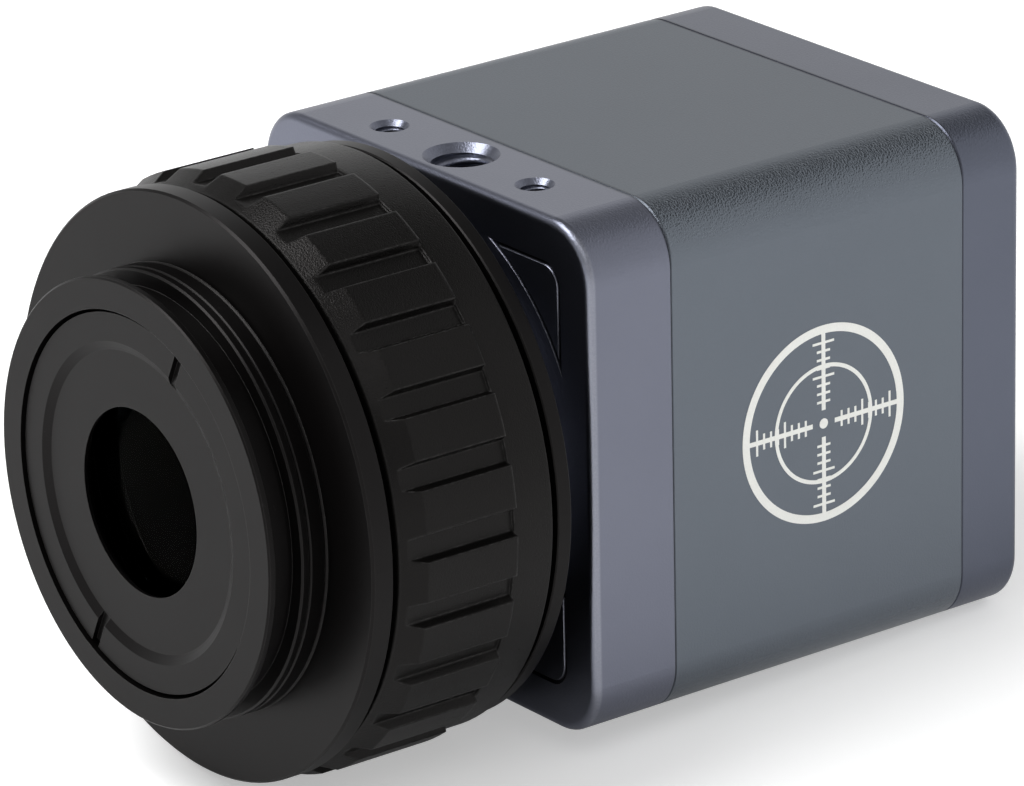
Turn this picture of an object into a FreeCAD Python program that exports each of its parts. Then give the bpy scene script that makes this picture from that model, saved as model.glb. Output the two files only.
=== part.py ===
import FreeCAD, Part

import math
import os

# Microscope camera: a square anodised housing with a black adapter on its front.
# Millimetres. The optical axis is Y, the front of the camera faces -Y, and Z is up.
# The origin is on the optical axis, at the shoulder that seats on the microscope's port.

# Clearances
running_clearance = 0.1
thread_clearance = 0.05
slip_clearance = 0.15
cut_margin = 1.0

# Port neck, front flange and lens cell of the sliding barrel
neck_radius = 19.05
neck_length = 5.8
neck_wall = 2.65
neck_edge_chamfer = 0.15
lip_length = 0.6
lip_back_length = 0.5
groove_depth = 1.35
land_length = 2.55
land_line_place = 1.85
shoulder_line_place = 0.33
neck_line_length = 0.15
neck_line_depth = 0.3
neck_line_chamfer = 0.12
cell_wall = 1.1
lens_seat_width = 1.9
lens_seat_length = 1.4
front_flange_rise = 0.5
front_flange_length = 2.1
front_flange_chamfer = 0.2
skirt_wall = 1.9
barrel_travel = 3.0

# Lens retaining ring in the neck
retainer_gap = 0.3
retainer_recess = 0.3
retainer_length = 2.75
retainer_rim_width = 2.45
retainer_bevel_width = 0.8
retainer_step = 0.4
retainer_plate = 1.2
retainer_hole_lip = 0.3
retainer_hole_radius = 8.05
spanner_slot_count = 2
spanner_slot_width = 1.0
spanner_slot_depth = 0.5
spanner_slot_angle = 64.5

# Doublet lens
lens_edge_front = 2.6
lens_edge_rear = 2.2
lens_gap = 0.05
lens_front_curve = 120.0
lens_middle_curve = 60.0
lens_rear_curve = 120.0

# Ribbed adjusting ring
ring_front_gap = 0.7
ring_end_gap = 0.3
ring_wall = 3.1
ring_hub_wall = 2.0
ring_groove_width = 0.8
ring_front_length = 0.3
ring_cone_length = 2.0
rib_rise = 1.1
rib_length = 9.0
rib_count = 27
valley_rise = 0.3
valley_angle = 5.5
valley_phase = 2.5
valley_draft = 25.0
band_rise = 0.6
band_length = 4.0
band_chamfer = 0.15

# Adapter base: guide tube, journal, rear flange and lens-mount thread
cell_air_gap = 0.5
base_tube_wall = 1.4
base_tube_setback = 2.4
base_wall_length = 5.4
journal_step = 0.5
base_flange_rise = 0.2
base_flange_length = 1.4
base_flange_chamfer = 0.12
mount_thread_radius = 12.7
mount_thread_length = 3.8
mount_throat_radius = 11.0
keeper_length = 1.6
keeper_gap = 0.6
guide_pin_radius = 1.0
guide_pin_reach = 1.5
guide_pin_count = 2
guide_pin_cover = 1.7
guide_slot_web = 3.0
o_ring_section_radius = 0.7

# Camera housing
body_side = 45.0
body_corner_radius = 5.0
front_plate_length = 8.5
sleeve_length = 31.4
rear_cover_length = 6.4
rear_wall = 3.0
sleeve_wall = 2.7
cavity_corner_radius = 2.6
seam_chamfer = 0.12
front_edge_round = 0.7
rear_edge_round = 0.8

# Front plate: seat boss, groove round each corner, light opening and filter recess
seat_boss_radius = 18.0
seat_boss_height = 3.9
corner_groove_margin = 3.9
corner_groove_round = 2.0
corner_groove_land = 2.85
corner_groove_width = 0.26
corner_groove_depth = 0.2
corner_groove_chamfer = 0.08
mount_bore_relief = 0.9
light_opening_radius = 10.0

# Holes in the top of the front plate
tripod_tap_radius = 2.6
tripod_sink_radius = 3.3
tripod_hole_depth = 6.0
side_tap_radius = 1.25
side_sink_radius = 1.7
side_hole_depth = 5.0
side_hole_spacing = 20.0

# Long housing screws, one in each corner
screw_inset = 4.5
screw_radius = 1.2
screw_pillar_radius = 3.0
screw_head_radius = 2.25
screw_head_length = 2.3
screw_head_recess = 0.2
screw_engagement = 4.5
screw_socket_width = 2.0
screw_socket_depth = 1.2

# Image sensor, filter and sensor board
flange_focal_distance = 17.526
package_width = 15.0
package_height = 12.5
package_length = 1.5
package_well_width = 10.0
package_well_height = 7.5
package_well_depth = 0.2
glass_margin = 0.5
glass_length = 0.7
sensor_board_margin = 2.8
sensor_board_corner = 3.0
board_thickness = 1.6
standoff_inset = 3.5
standoff_radius = 2.2
board_screw_radius = 0.9
board_screw_head_radius = 1.8
board_screw_head_length = 1.2
filter_seat_width = 1.0
filter_length = 1.0
holder_wall = 2.0

# Main board and what is soldered to it
board_height = -2.0
board_gap = 1.6
board_groove_depth = 0.9
board_rear_clearance = 0.3
link_width = 12.0
link_height = 3.4
link_seat = 2.6
processor_side = 10.0
processor_height = 1.2
processor_gap = 1.0
pad_height = 0.5
sink_inset = 4.8
sink_side = 11.0
sink_base = 1.5
sink_fin_height = 4.0
sink_fin_thickness = 0.8
sink_fin_count = 6
memory_width = 7.0
memory_length = 9.0
memory_height = 1.0
memory_spacing = 8.5

# Sockets, card reader, button and light in the rear cover
socket_proud = 0.2
socket_spacing = 2.2
cutout_clearance = 0.25
video_width = 15.0
video_height = 5.9
video_foot_width = 11.4
video_foot_height = 2.4
video_depth = 11.0
video_wall = 0.35
video_back = 1.6
video_tongue_width = 10.4
video_tongue_height = 1.6
video_tongue_rise = 2.7
video_tongue_setback = 1.2
data_width = 9.0
data_height = 3.3
data_depth = 8.0
data_wall = 0.3
data_back = 1.2
data_tongue_width = 6.6
data_tongue_height = 0.7
data_tongue_setback = 0.8
card_width = 13.6
card_height = 1.9
card_depth = 14.0
card_slot_width = 11.4
card_slot_height = 0.9
card_slot_depth = 12.6
card_setback = 0.3
button_board_gap = 0.4
button_radius = 2.0
button_proud = 0.4
button_travel = 0.5
button_collar_radius = 2.7
button_collar_length = 0.7
button_edge_round = 0.3
switch_width = 5.6
switch_roof = 1.0
switch_length = 3.2
switch_gap = 0.8
plunger_radius = 0.9
plunger_seat = 0.7
light_drop = 1.8
light_radius = 1.0
light_collar_radius = 1.5
light_collar_length = 0.6
led_width = 2.0
led_height = 1.0
led_length = 1.6

# Radii of the nested tubes, from the neck's bore out to the ring
cell_bore_radius = neck_radius - neck_wall
cell_radius = cell_bore_radius + cell_wall
lens_seat_radius = cell_bore_radius - lens_seat_width
lens_radius = cell_bore_radius - running_clearance
lens_clear_radius = lens_seat_radius - slip_clearance
retainer_radius = cell_bore_radius - retainer_gap
base_bore_radius = cell_radius + cell_air_gap
base_tube_radius = base_bore_radius + base_tube_wall
journal_radius = base_tube_radius + journal_step
skirt_bore_radius = base_tube_radius + running_clearance
skirt_radius = skirt_bore_radius + skirt_wall
ring_bore_radius = skirt_radius + running_clearance
ring_lip_radius = journal_radius + running_clearance
ring_hub_radius = ring_lip_radius + ring_hub_wall
ring_front_radius = ring_bore_radius + ring_wall
rib_radius = ring_front_radius + rib_rise
valley_radius = ring_front_radius + valley_rise
band_radius = ring_front_radius + band_rise
front_flange_radius = ring_front_radius + front_flange_rise
base_flange_radius = ring_front_radius + base_flange_rise
corner_groove_radius = seat_boss_radius + corner_groove_land

# Places along the optical axis, front to rear
neck_tip = -neck_length
retainer_front = neck_tip + retainer_recess
retainer_rear = retainer_front + retainer_length
lens_meeting = retainer_rear + lens_edge_front
lens_seat = lens_meeting + lens_gap + lens_edge_rear
base_tube_start = front_flange_length + base_tube_setback
guide_slot_start = front_flange_length + guide_slot_web
guide_pin_place = guide_slot_start + guide_pin_radius + 2 * running_clearance
skirt_end = guide_pin_place + guide_pin_radius + barrel_travel + guide_pin_cover
keeper_front = skirt_end + keeper_gap
keeper_rear = keeper_front + keeper_length
ring_lip_start = keeper_rear + 2 * running_clearance
ring_start = front_flange_length + ring_front_gap
rib_start = ring_start + ring_front_length + ring_cone_length
rib_end = rib_start + rib_length
ring_end = rib_end + band_length
base_flange_start = ring_end + ring_groove_width
ring_hub_end = base_flange_start - ring_end_gap
o_ring_place = (keeper_rear + base_flange_start) / 2
seat = base_flange_start + base_flange_length
body_front = seat + seat_boss_height
sleeve_front = body_front + front_plate_length
sleeve_rear = sleeve_front + sleeve_length
body_rear = sleeve_rear + rear_cover_length
rear_inner = body_rear - rear_wall
socket_face = body_rear + socket_proud
screw_head_floor = body_rear - screw_head_recess - screw_head_length
image_plane = seat + flange_focal_distance
package_front = image_plane - package_well_depth
sensor_board_front = package_front + package_length
sensor_board_rear = sensor_board_front + board_thickness
main_board_front = sensor_board_rear + board_gap
main_board_rear = rear_inner - board_rear_clearance
link_rear = main_board_front + link_seat
processor_start = link_rear + processor_gap
button_rest = rear_inner - thread_clearance - button_collar_length
switch_face = button_rest - switch_gap

# Places across the housing, with the sockets and the button in one centred row
body_half = body_side / 2
cavity_side = body_side - 2 * sleeve_wall
screw_place = body_half - screw_inset
corner_groove_side = body_side - 2 * corner_groove_margin
filter_side = 2 * (light_opening_radius + filter_seat_width)
sensor_board_side = cavity_side - 2 * sensor_board_margin
standoff_place = sensor_board_side / 2 - standoff_inset
board_top = board_height + board_thickness / 2
board_bottom = board_height - board_thickness / 2
processor_across = cavity_side / 2 - sink_inset - sink_side / 2
row_width = video_width + data_width + 2 * button_collar_radius + 2 * socket_spacing
video_across = (video_width - row_width) / 2
data_across = video_across + (video_width + data_width) / 2 + socket_spacing
button_across = row_width / 2 - button_collar_radius
button_height = board_top + button_collar_radius + button_board_gap
light_height = board_bottom - light_drop


def vec(x, y, z):
    return FreeCAD.Vector(x, y, z)


origin = vec(0, 0, 0)
axis = vec(0, 1, 0)


def polygon_face(points):
    return Part.Face(Part.makePolygon(points + points[:1]))


def turned(profile):
    """Solid turned about the optical axis from (radius, place) corners."""
    return polygon_face([vec(radius, place, 0) for radius, place in profile]).revolve(origin, axis, 360)


def rod(radius, start, end, x=0.0, z=0.0):
    """Cylinder along the optical axis."""
    return Part.makeCylinder(radius, end - start, vec(x, start, z), axis)


def tube(outer, inner, start, end):
    return rod(outer, start, end).cut(rod(inner, start, end))


def block(width, start, end, bottom, top, x=0.0):
    """Box of a width across X, between two places along Y and two heights."""
    return Part.makeBox(width, end - start, top - bottom, vec(x - width / 2, start, bottom))


def centred_block(width, height, start, end):
    return block(width, start, end, -height / 2, height / 2)


def rounded_block(width, height, radius, start, end, x=0.0, z=0.0):
    """Prism along the optical axis whose outline is a rectangle with round corners."""
    straight_x = width / 2 - radius
    straight_z = height / 2 - radius
    edges = []
    previous = None
    first = None
    for quarter, (sx, sz) in enumerate(((1, 1), (-1, 1), (-1, -1), (1, -1))):
        bend = []
        for turn in (0, 45, 90):
            angle = math.radians(90 * quarter + turn)
            bend.append(vec(x + sx * straight_x + radius * math.cos(angle), start,
                            z + sz * straight_z + radius * math.sin(angle)))
        if previous is not None and (bend[0] - previous).Length > 1e-6:
            edges.append(Part.LineSegment(previous, bend[0]).toShape())
        edges.append(Part.Arc(*bend).toShape())
        first = first or bend[0]
        previous = bend[2]
    if (first - previous).Length > 1e-6:
        edges.append(Part.LineSegment(previous, first).toShape())
    return Part.Face(Part.Wire(edges)).extrude(vec(0, end - start, 0))


def edges_at(solid, place, least, most):
    """Edges square to the axis at one place, whose widest reach lies between two limits."""
    found = []
    for edge in solid.Edges:
        box = edge.BoundBox
        reach = max(abs(box.XMin), abs(box.XMax), abs(box.ZMin), abs(box.ZMax))
        flat = abs(box.YMin - place) < 1e-4 and abs(box.YMax - place) < 1e-4
        if flat and least - 1e-3 < reach < most + 1e-3:
            found.append(edge)
    return found


def outer_edges(solid, place):
    return edges_at(solid, place, body_half, body_half)


def at_corners(make, place):
    """List of what a function of (x, z) makes in each of four corners."""
    return [make(sx * place, sz * place) for sx in (-1, 1) for sz in (-1, 1)]


def corner_rods(radius, start, end, place):
    return at_corners(lambda x, z: rod(radius, start, end, x, z), place)


def housing_block(start, end):
    return rounded_block(body_side, body_side, body_corner_radius, start, end)


def cavity(start, end):
    """Inside of the housing, with a pillar left in each corner for its screw."""
    hollow = rounded_block(cavity_side, cavity_side, cavity_corner_radius, start, end)
    return hollow.cut(corner_rods(screw_pillar_radius, start, end, screw_place))


def around(solid, index, count):
    """Solid turned about the optical axis to one of several even places."""
    solid.rotate(origin, axis, 360.0 * index / count)
    return solid


def lens_barrel():
    """Port neck, front flange, lens cell and the skirt that carries the focusing thread."""
    groove_front = neck_tip + lip_length
    groove_radius = neck_radius - groove_depth
    cell_end = lens_seat + lens_seat_length
    neck_lines = []
    for place in (-land_line_place, -shoulder_line_place):
        line_rear = place + neck_line_length
        neck_lines += [(neck_radius, place),
                       (neck_radius - neck_line_depth, place),
                       (neck_radius - neck_line_depth, line_rear),
                       (neck_radius - neck_line_chamfer, line_rear),
                       (neck_radius, line_rear + neck_line_chamfer)]
    barrel = turned([(cell_bore_radius, neck_tip),
                     (neck_radius - neck_edge_chamfer, neck_tip),
                     (neck_radius, neck_tip + neck_edge_chamfer),
                     (neck_radius, groove_front),
                     (groove_radius, groove_front + lip_back_length),
                     (groove_radius, -land_length),
                     (neck_radius - neck_edge_chamfer, -land_length),
                     (neck_radius, -land_length + neck_edge_chamfer),
                     *neck_lines,
                     (neck_radius, 0.0),
                     (front_flange_radius - front_flange_chamfer, 0.0),
                     (front_flange_radius, front_flange_chamfer),
                     (front_flange_radius, front_flange_length - band_chamfer),
                     (front_flange_radius - band_chamfer, front_flange_length),
                     (skirt_radius, front_flange_length),
                     (skirt_radius, skirt_end),
                     (skirt_bore_radius, skirt_end),
                     (skirt_bore_radius, front_flange_length),
                     (cell_radius, front_flange_length),
                     (cell_radius, cell_end),
                     (lens_seat_radius, cell_end),
                     (lens_seat_radius, lens_seat),
                     (cell_bore_radius, lens_seat)])
    slot_width = 2 * (guide_pin_radius + running_clearance)
    slot_length = skirt_end + cut_margin - guide_slot_start
    slots = []
    for index in range(guide_pin_count):
        slot = Part.makeBox(skirt_wall + 2 * cut_margin, slot_length, slot_width,
                            vec(skirt_bore_radius - cut_margin, guide_slot_start, -slot_width / 2))
        slots.append(around(slot, index, guide_pin_count))
    return barrel.cut(slots)


def lens_retaining_ring():
    """Threaded ring with spanner slots in its rim; its stepped face stops the lens down."""
    rim_inner = retainer_radius - retainer_rim_width
    plate_outer = rim_inner - retainer_bevel_width
    step = retainer_front + retainer_step
    plate_rear = step + retainer_plate
    hole_flare = retainer_plate - retainer_hole_lip
    ring = turned([(retainer_radius, retainer_front),
                   (rim_inner, retainer_front),
                   (plate_outer, step),
                   (retainer_hole_radius, step),
                   (retainer_hole_radius, step + retainer_hole_lip),
                   (retainer_hole_radius + hole_flare, plate_rear),
                   (lens_seat_radius, plate_rear),
                   (lens_seat_radius, retainer_rear),
                   (retainer_radius, retainer_rear)])
    slots = []
    for index in range(spanner_slot_count):
        slot = Part.makeBox(neck_radius - plate_outer, spanner_slot_depth, spanner_slot_width,
                            vec(plate_outer, retainer_front, -spanner_slot_width / 2))
        slot.rotate(origin, axis, -spanner_slot_angle)
        slots.append(around(slot, index, spanner_slot_count))
    return ring.cut(slots)


def lens(front, rear, front_curve, rear_curve, front_way):
    """Lens with flat rims; its rear bows out, and its front bows out (1) or in (-1)."""
    def depth(curve, radius):
        return curve - math.sqrt(curve ** 2 - radius ** 2)

    half = lens_clear_radius / 2
    front_apex = front - front_way * depth(front_curve, lens_clear_radius)
    rear_apex = rear + depth(rear_curve, lens_clear_radius)
    front_arc = [vec(0, front_apex, 0),
                 vec(half, front_apex + front_way * depth(front_curve, half), 0),
                 vec(lens_clear_radius, front, 0)]
    rear_arc = [vec(lens_clear_radius, rear, 0),
                vec(half, rear_apex - depth(rear_curve, half), 0),
                vec(0, rear_apex, 0)]
    rim = [front_arc[2], vec(lens_radius, front, 0), vec(lens_radius, rear, 0), rear_arc[0]]
    edges = [Part.Arc(*front_arc).toShape()]
    edges += [Part.makeLine(begin, finish) for begin, finish in zip(rim, rim[1:])]
    edges += [Part.Arc(*rear_arc).toShape(), Part.makeLine(rear_arc[2], front_arc[0])]
    return Part.Face(Part.Wire(edges)).revolve(origin, axis, 360)


def front_lens():
    """Crown element, convex on both faces."""
    return lens(retainer_rear, lens_meeting, lens_front_curve, lens_middle_curve, 1)


def rear_lens():
    """Flint element, hollow in front to take the crown element."""
    return lens(lens_meeting + lens_gap, lens_seat, lens_middle_curve, lens_rear_curve, -1)


def adjusting_ring():
    """Grip ring: a cone in front, ribs with sloped valleys, a plain band and a thrust hub behind."""
    ring = turned([(ring_bore_radius, ring_start),
                   (ring_front_radius, ring_start),
                   (ring_front_radius, ring_start + ring_front_length),
                   (rib_radius, rib_start),
                   (rib_radius, rib_end),
                   (band_radius, rib_end),
                   (band_radius, ring_end - band_chamfer),
                   (band_radius - band_chamfer, ring_end),
                   (ring_hub_radius, ring_end),
                   (ring_hub_radius, ring_hub_end),
                   (ring_lip_radius, ring_hub_end),
                   (ring_lip_radius, ring_lip_start),
                   (ring_bore_radius, ring_lip_start)])
    outside = rib_radius + cut_margin
    slope = math.tan(math.radians(valley_draft))
    mouth_half = rib_radius * math.sin(math.radians(valley_angle / 2))
    floor_half = mouth_half - (rib_radius - valley_radius) * slope
    outside_half = mouth_half + cut_margin * slope
    section = polygon_face([vec(valley_radius, ring_start, -floor_half),
                            vec(valley_radius, ring_start, floor_half),
                            vec(outside, ring_start, outside_half),
                            vec(outside, ring_start, -outside_half)])
    section.rotate(origin, axis, -valley_phase)
    valleys = [around(section.extrude(vec(0, rib_end - ring_start, 0)), index, rib_count)
               for index in range(rib_count)]
    return ring.cut(valleys)


def adapter_base():
    """Guide tube, journal for the ring, rear flange and the thread that enters the camera."""
    thread_radius = mount_thread_radius - running_clearance
    thread_end = seat + mount_thread_length
    tube_floor = seat - base_wall_length
    base = turned([(base_bore_radius, base_tube_start),
                   (base_tube_radius, base_tube_start),
                   (base_tube_radius, keeper_rear),
                   (journal_radius, keeper_rear),
                   (journal_radius, base_flange_start),
                   (base_flange_radius - base_flange_chamfer, base_flange_start),
                   (base_flange_radius, base_flange_start + base_flange_chamfer),
                   (base_flange_radius, seat - base_flange_chamfer),
                   (base_flange_radius - base_flange_chamfer, seat),
                   (thread_radius, seat),
                   (thread_radius, thread_end),
                   (mount_throat_radius, thread_end),
                   (mount_throat_radius, tube_floor),
                   (base_bore_radius, tube_floor)])
    half = o_ring_section_radius + thread_clearance
    o_ring_groove = tube(journal_radius + cut_margin, journal_radius - 2 * half,
                         o_ring_place - half, o_ring_place + half)
    holes = [guide_spoke(guide_pin_radius + thread_clearance, base_bore_radius - cut_margin,
                         base_tube_radius + cut_margin, index) for index in range(guide_pin_count)]
    return base.cut([o_ring_groove] + holes)


def guide_spoke(radius, inner, outer, index):
    """Radial rod at one of the guide pins' places."""
    spoke = Part.makeCylinder(radius, outer - inner, vec(inner, guide_pin_place, 0), vec(1, 0, 0))
    return around(spoke, index, guide_pin_count)


def guide_pins():
    """Pins that keep the barrel from turning while the ring drives it."""
    outer = base_tube_radius + guide_pin_reach
    return Part.makeCompound([guide_spoke(guide_pin_radius, base_bore_radius, outer, index)
                              for index in range(guide_pin_count)])


def keeper_ring():
    """Threaded ring that holds the adjusting ring on its journal."""
    outer = ring_bore_radius - 2 * running_clearance
    return tube(outer, base_tube_radius + thread_clearance, keeper_front, keeper_rear)


def drag_o_ring():
    """Rubber ring in the journal that gives the adjusting ring its drag."""
    middle = journal_radius - o_ring_section_radius - thread_clearance
    return Part.makeTorus(middle, o_ring_section_radius, vec(0, o_ring_place, 0), axis)


def corner_fields(inset):
    """Fields in the front face's corners, each between a round edge and a square one."""
    floor = body_front + corner_groove_depth
    side = corner_groove_side - 2 * inset
    square = rounded_block(side, side, corner_groove_round - inset, body_front, floor)
    return square.cut(rod(corner_groove_radius + inset, body_front, floor))


def corner_grooves():
    """Narrow grooves that outline the corner fields."""
    return corner_fields(0.0).cut(corner_fields(corner_groove_width))


def top_hole(x, tap_radius, sink_radius, depth):
    """Tapped hole from the top of the front plate, with a 45 degree countersink."""
    place = body_front + front_plate_length / 2
    drill = Part.makeCylinder(tap_radius, depth, vec(x, place, body_half - depth))
    sink_depth = sink_radius - tap_radius
    sink = Part.makeCone(tap_radius, sink_radius, sink_depth, vec(x, place, body_half - sink_depth))
    return drill.fuse(sink)


def front_plate():
    """Front block with the lens-mount bore, seat boss, corner grooves and tripod holes."""
    plate = housing_block(body_front, sleeve_front)
    plate = plate.makeFillet(front_edge_round, outer_edges(plate, body_front))
    plate = plate.makeChamfer(seam_chamfer, outer_edges(plate, sleeve_front))
    plate = plate.cut(corner_grooves())
    groove_edges = edges_at(plate, body_front, 0.0, corner_groove_side / 2)
    plate = plate.makeChamfer(corner_groove_chamfer, groove_edges)
    plate = plate.fuse(rod(seat_boss_radius, seat, sleeve_front))
    bore_end = seat + mount_thread_length + mount_bore_relief
    recess_side = filter_side + 2 * slip_clearance
    cuts = [rod(mount_thread_radius, seat, bore_end),
            rod(light_opening_radius, seat, sleeve_front),
            centred_block(recess_side, recess_side, sleeve_front - filter_length, sleeve_front),
            top_hole(0.0, tripod_tap_radius, tripod_sink_radius, tripod_hole_depth),
            top_hole(-side_hole_spacing / 2, side_tap_radius, side_sink_radius, side_hole_depth),
            top_hole(side_hole_spacing / 2, side_tap_radius, side_sink_radius, side_hole_depth)]
    tapped = screw_radius + thread_clearance
    cuts += corner_rods(tapped, sleeve_front - screw_engagement, sleeve_front, screw_place)
    return plate.cut(cuts)


def body_sleeve():
    """Square tube with a screw pillar in each corner and a groove each side for the main board."""
    sleeve = housing_block(sleeve_front, sleeve_rear)
    seams = outer_edges(sleeve, sleeve_front) + outer_edges(sleeve, sleeve_rear)
    sleeve = sleeve.makeChamfer(seam_chamfer, seams)
    board_grooves = block(cavity_side + 2 * board_groove_depth, sleeve_front, sleeve_rear,
                          board_bottom - running_clearance, board_top + running_clearance)
    holes = corner_rods(screw_radius + slip_clearance, sleeve_front, sleeve_rear, screw_place)
    return sleeve.cut([cavity(sleeve_front, sleeve_rear), board_grooves] + holes)


def video_profile(grow, start, end):
    """Video socket outline: a flat top, and lower corners that slope in to a narrower foot."""
    half = video_width / 2 + grow
    foot = video_foot_width / 2 + grow
    low = board_top - grow
    high = board_top + video_height + grow
    shoulder = board_top + video_foot_height
    outline = [(-half, high), (half, high), (half, shoulder), (foot, low), (-foot, low), (-half, shoulder)]
    face = polygon_face([vec(video_across + x, start, z) for x, z in outline])
    return face.extrude(vec(0, end - start, 0))


def data_profile(grow, start, end):
    """Data socket outline with fully round ends."""
    height = data_height + 2 * grow
    middle = board_top + data_height / 2
    return rounded_block(data_width + 2 * grow, height, height / 2, start, end, data_across, middle)


def rear_cover():
    """Rear block with cut-outs for the sockets, the card, the button and the light."""
    cover = housing_block(sleeve_rear, body_rear)
    cover = cover.makeFillet(rear_edge_round, outer_edges(cover, body_rear))
    cover = cover.makeChamfer(seam_chamfer, outer_edges(cover, sleeve_rear))
    card_opening = block(card_width + 2 * cutout_clearance, rear_inner, body_rear,
                         board_bottom - card_height - cutout_clearance, board_bottom + cutout_clearance,
                         video_across)
    cuts = [cavity(sleeve_rear, rear_inner),
            video_profile(cutout_clearance, rear_inner, body_rear),
            data_profile(cutout_clearance, rear_inner, body_rear),
            card_opening,
            rod(button_radius + slip_clearance, rear_inner, body_rear, button_across, button_height),
            rod(light_radius + thread_clearance, rear_inner, body_rear, data_across, light_height)]
    cuts += corner_rods(screw_radius + slip_clearance, sleeve_rear, body_rear, screw_place)
    cuts += corner_rods(screw_head_radius + slip_clearance, screw_head_floor, body_rear, screw_place)
    return cover.cut(cuts)


def housing_screw(x, z):
    """Long socket-head screw from the rear cover through to the front plate."""
    head_face = screw_head_floor + screw_head_length
    corner_radius = screw_socket_width / math.sqrt(3)
    hexagon = [vec(x + corner_radius * math.cos(math.radians(60 * n)), head_face,
                   z + corner_radius * math.sin(math.radians(60 * n))) for n in range(6)]
    socket = polygon_face(hexagon).extrude(vec(0, -screw_socket_depth, 0))
    head = rod(screw_head_radius, screw_head_floor, head_face, x, z).cut(socket)
    return head.fuse(rod(screw_radius, sleeve_front - screw_engagement, screw_head_floor, x, z))


def housing_screws():
    return Part.makeCompound(at_corners(housing_screw, screw_place))


def ir_cut_filter():
    """Square glass filter in the recess behind the light opening."""
    return centred_block(filter_side, filter_side, sleeve_front - filter_length, sleeve_front)


def filter_holder():
    """Light-tight frame between the front plate and the sensor board."""
    width = package_width + 2 * slip_clearance
    height = package_height + 2 * slip_clearance
    frame = centred_block(width + 2 * holder_wall, height + 2 * holder_wall,
                          sleeve_front, sensor_board_front)
    return frame.cut(centred_block(width, height, sleeve_front, sensor_board_front))


def image_sensor():
    """Sensor package with the well that its die lies in."""
    package = centred_block(package_width, package_height, package_front, sensor_board_front)
    return package.cut(centred_block(package_well_width, package_well_height, package_front, image_plane))


def sensor_glass():
    """Cover glass on the sensor package."""
    return centred_block(package_width - 2 * glass_margin, package_height - 2 * glass_margin,
                         package_front - glass_length, package_front)


def sensor_board():
    """Square board with cut corners that clear the screw pillars."""
    half = sensor_board_side / 2
    near = half - sensor_board_corner
    outline = [(near, half), (half, near), (half, -near), (near, -half),
               (-near, -half), (-half, -near), (-half, near), (-near, half)]
    face = polygon_face([vec(x, sensor_board_front, z) for x, z in outline])
    board = face.extrude(vec(0, board_thickness, 0))
    return board.cut(corner_rods(board_screw_radius + slip_clearance, sensor_board_front, sensor_board_rear,
                                 standoff_place))


def sensor_standoffs():
    """Spacers that set the sensor at the flange focal distance."""
    def spacer(x, z):
        tapped = rod(board_screw_radius + thread_clearance, sleeve_front, sensor_board_front, x, z)
        return rod(standoff_radius, sleeve_front, sensor_board_front, x, z).cut(tapped)

    return Part.makeCompound(at_corners(spacer, standoff_place))


def sensor_board_screws():
    """Screws that hold the sensor board to its spacers."""
    def screw(x, z):
        head_end = sensor_board_rear + board_screw_head_length
        head = rod(board_screw_head_radius, sensor_board_rear, head_end, x, z)
        return head.fuse(rod(board_screw_radius, sleeve_front + running_clearance, sensor_board_rear, x, z))

    return Part.makeCompound(at_corners(screw, standoff_place))


def main_board():
    """Board that slides into the sleeve's grooves; its rear end narrows to enter the rear cover."""
    shoulder = sleeve_rear - slip_clearance
    narrow = cavity_side - 2 * slip_clearance
    wide = narrow + 2 * board_groove_depth
    board = block(wide, main_board_front, shoulder, board_bottom, board_top)
    tail = block(narrow, shoulder, main_board_rear, board_bottom, board_top)
    return board.fuse(tail).removeSplitter()


def board_link():
    """Connector that joins the sensor board to the main board."""
    seated = block(link_width, sensor_board_rear, link_rear, board_top, board_top + link_height)
    heel = block(link_width, sensor_board_rear, main_board_front, board_bottom, board_top)
    return seated.fuse(heel).removeSplitter()


def image_processor():
    """Chip on the main board behind the link."""
    return block(processor_side, processor_start, processor_start + processor_side,
                 board_top, board_top + processor_height, processor_across)


def thermal_pad():
    """Soft pad between the processor and its heat sink."""
    bottom = board_top + processor_height
    return block(processor_side, processor_start, processor_start + processor_side,
                 bottom, bottom + pad_height, processor_across)


def heat_sink():
    """Finned block on the image processor."""
    start = processor_start + (processor_side - sink_side) / 2
    end = start + sink_side
    bottom = board_top + processor_height + pad_height
    top = bottom + sink_base
    pitch = (sink_side - sink_fin_thickness) / (sink_fin_count - 1)
    first = processor_across - (sink_side - sink_fin_thickness) / 2
    sink = block(sink_side, start, end, bottom, top, processor_across)
    fins = [block(sink_fin_thickness, start, end, top, top + sink_fin_height, first + index * pitch)
            for index in range(sink_fin_count)]
    return sink.fuse(fins).removeSplitter()


def memory_chips():
    """Pair of memory packages under the main board, below the image processor."""
    return Part.makeCompound([block(memory_width, processor_start, processor_start + memory_length,
                                    board_bottom - memory_height, board_bottom,
                                    processor_across + side * memory_spacing / 2) for side in (-1, 1)])


def video_socket_shell():
    """Folded steel shell of the video socket, open at the rear."""
    start = socket_face - video_depth
    return video_profile(0.0, start, socket_face).cut(video_profile(-video_wall, start, socket_face))


def video_socket_insulator():
    """Moulded back of the video socket and the tongue that carries its contacts."""
    start = socket_face - video_depth
    back = video_profile(-video_wall - thread_clearance, start, start + video_back)
    bottom = board_top + video_tongue_rise
    tongue = block(video_tongue_width, start, socket_face - video_tongue_setback,
                   bottom, bottom + video_tongue_height, video_across)
    return back.fuse(tongue).removeSplitter()


def data_socket_shell():
    """Drawn steel shell of the data and power socket."""
    start = socket_face - data_depth
    return data_profile(0.0, start, socket_face).cut(data_profile(-data_wall, start, socket_face))


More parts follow.
